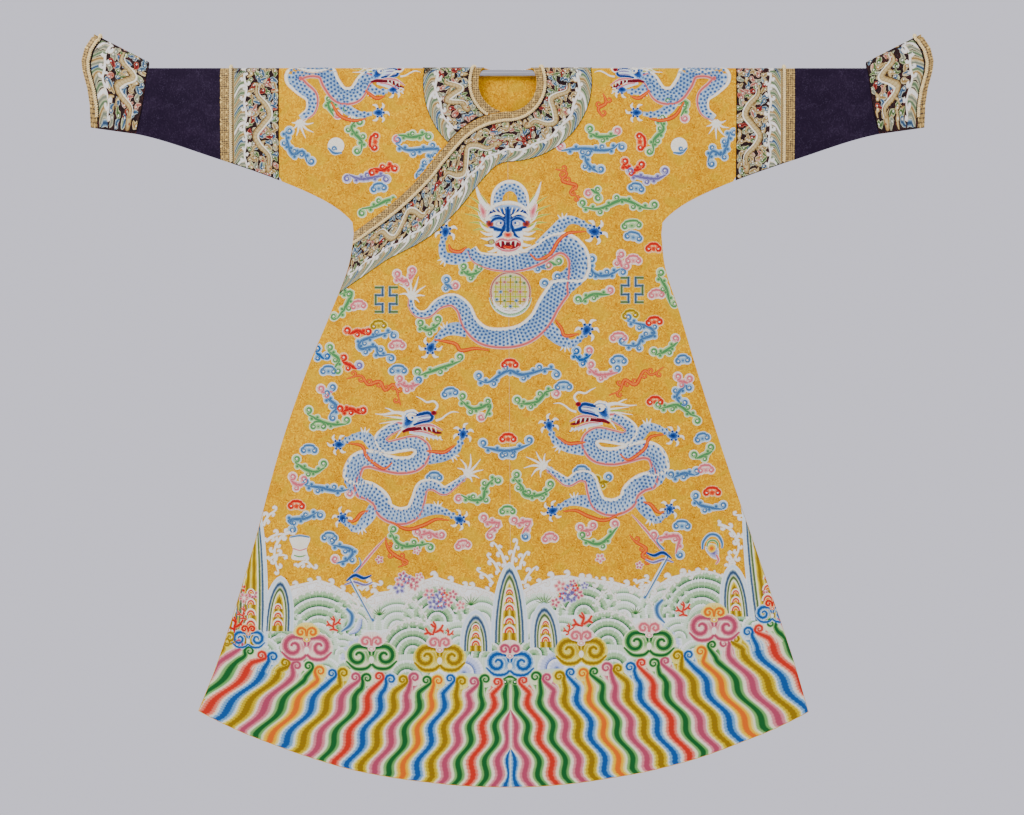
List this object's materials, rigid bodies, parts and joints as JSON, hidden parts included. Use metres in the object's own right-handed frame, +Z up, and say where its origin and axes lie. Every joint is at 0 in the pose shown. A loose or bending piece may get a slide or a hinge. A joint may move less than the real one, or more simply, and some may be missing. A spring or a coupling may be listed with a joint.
{
  "type": "chinese dragon robe on a hanging rod",
  "caption": "Court robe of yellow silk with dragons, a slanting front flap and horseshoe cuffs, spread flat on a straight rod through both sleeves.",
  "frame": {"origin": "on the rod's axis, at the middle of the neck opening", "axes": "+Z up, the robe's front faces -Y, +X along the rod towards the wearer's left sleeve"},
  "size_m": [1.749, 0.0562, 1.5449],
  "materials": {
    "rod_metal": "smooth satin metal",
    "yellow_silk": "figured silk with coloured embroidery",
    "navy_silk": "plain glossy silk",
    "dark_embroidery": "dense embroidery on a dark ground",
    "gold_brocade": "woven metal-thread brocade",
    "piping_cord": "satin-covered cord"
  },
  "bodies": {
    "root": {"back_left": "yellow_silk", "back_right": "yellow_silk", "binding_back": "gold_brocade", "binding_inner": "gold_brocade", "binding_outer": "gold_brocade", "cuff_edging_left_back": "gold_brocade", "cuff_edging_left_front": "gold_brocade", "cuff_edging_right_back": "gold_brocade", "cuff_edging_right_front": "gold_brocade", "cuff_left_back": "dark_embroidery", "cuff_left_front": "dark_embroidery", "cuff_piping_left_back": "piping_cord", "cuff_piping_left_front": "piping_cord", "cuff_piping_right_back": "piping_cord", "cuff_piping_right_front": "piping_cord", "cuff_right_back": "dark_embroidery", "cuff_right_front": "dark_embroidery", "facing_back": "dark_embroidery", "facing_inner": "dark_embroidery", "facing_outer": "dark_embroidery", "front_flap": "yellow_silk", "front_left": "yellow_silk", "front_right": "yellow_silk", "lower_sleeve_left_back": "navy_silk", "lower_sleeve_left_front": "navy_silk", "lower_sleeve_right_back": "navy_silk", "lower_sleeve_right_front": "navy_silk", "piping_back": "piping_cord", "piping_inner": "piping_cord", "piping_outer": "piping_cord", "rod": "rod_metal", "sleeve_band_left_back": "dark_embroidery", "sleeve_band_left_front": "dark_embroidery", "sleeve_band_right_back": "dark_embroidery", "sleeve_band_right_front": "dark_embroidery", "sleeve_brocade_left_back": "gold_brocade", "sleeve_brocade_left_front": "gold_brocade", "sleeve_brocade_right_back": "gold_brocade", "sleeve_brocade_right_front": "gold_brocade", "sleeve_piping_left_back": "piping_cord", "sleeve_piping_left_front": "piping_cord", "sleeve_piping_right_back": "piping_cord", "sleeve_piping_right_front": "piping_cord"}
  },
  "joints": []
}
